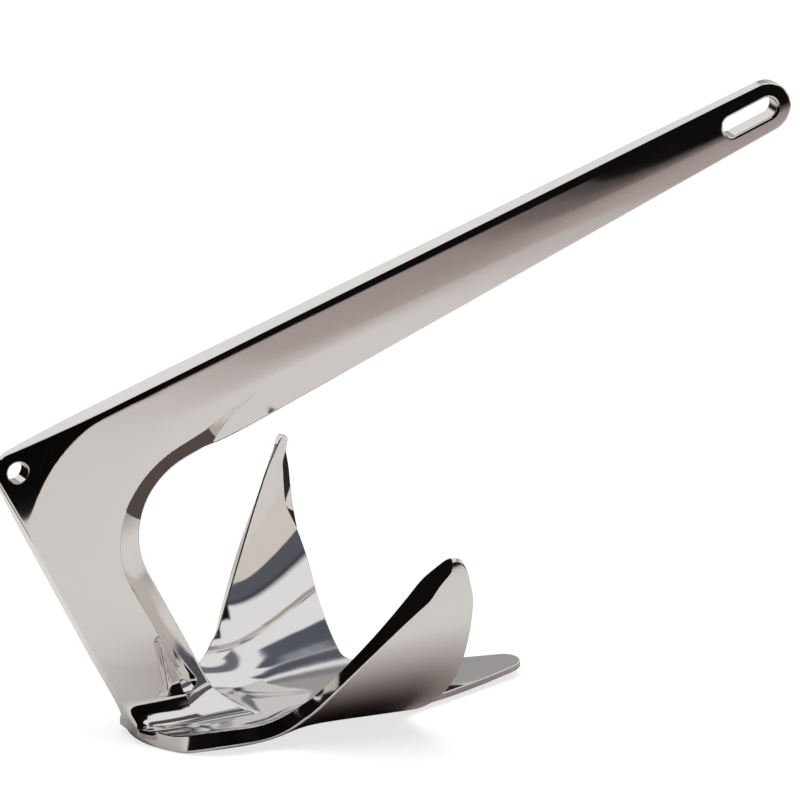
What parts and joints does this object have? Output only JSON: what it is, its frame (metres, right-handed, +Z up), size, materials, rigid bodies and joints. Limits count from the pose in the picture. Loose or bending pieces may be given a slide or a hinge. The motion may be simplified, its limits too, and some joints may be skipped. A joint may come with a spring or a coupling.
{
  "type": "claw anchor",
  "caption": "One-piece cast claw anchor: a bent flat shank with an eye slot and a trip hole, on a scoop whose floor runs out to a middle claw between curved side claws.",
  "frame": {"origin": "on the floor under the heel of the shank, in the plane that halves the anchor, on its flat underside", "axes": "+X forward from the heel to the tip of the middle claw, +Y to the left side claw, +Z up"},
  "size_m": [0.6296, 0.307, 0.4206],
  "materials": {
    "stainless": "mirror-polished stainless steel"
  },
  "bodies": {
    "root": {"claw_anchor": "stainless"}
  },
  "joints": []
}
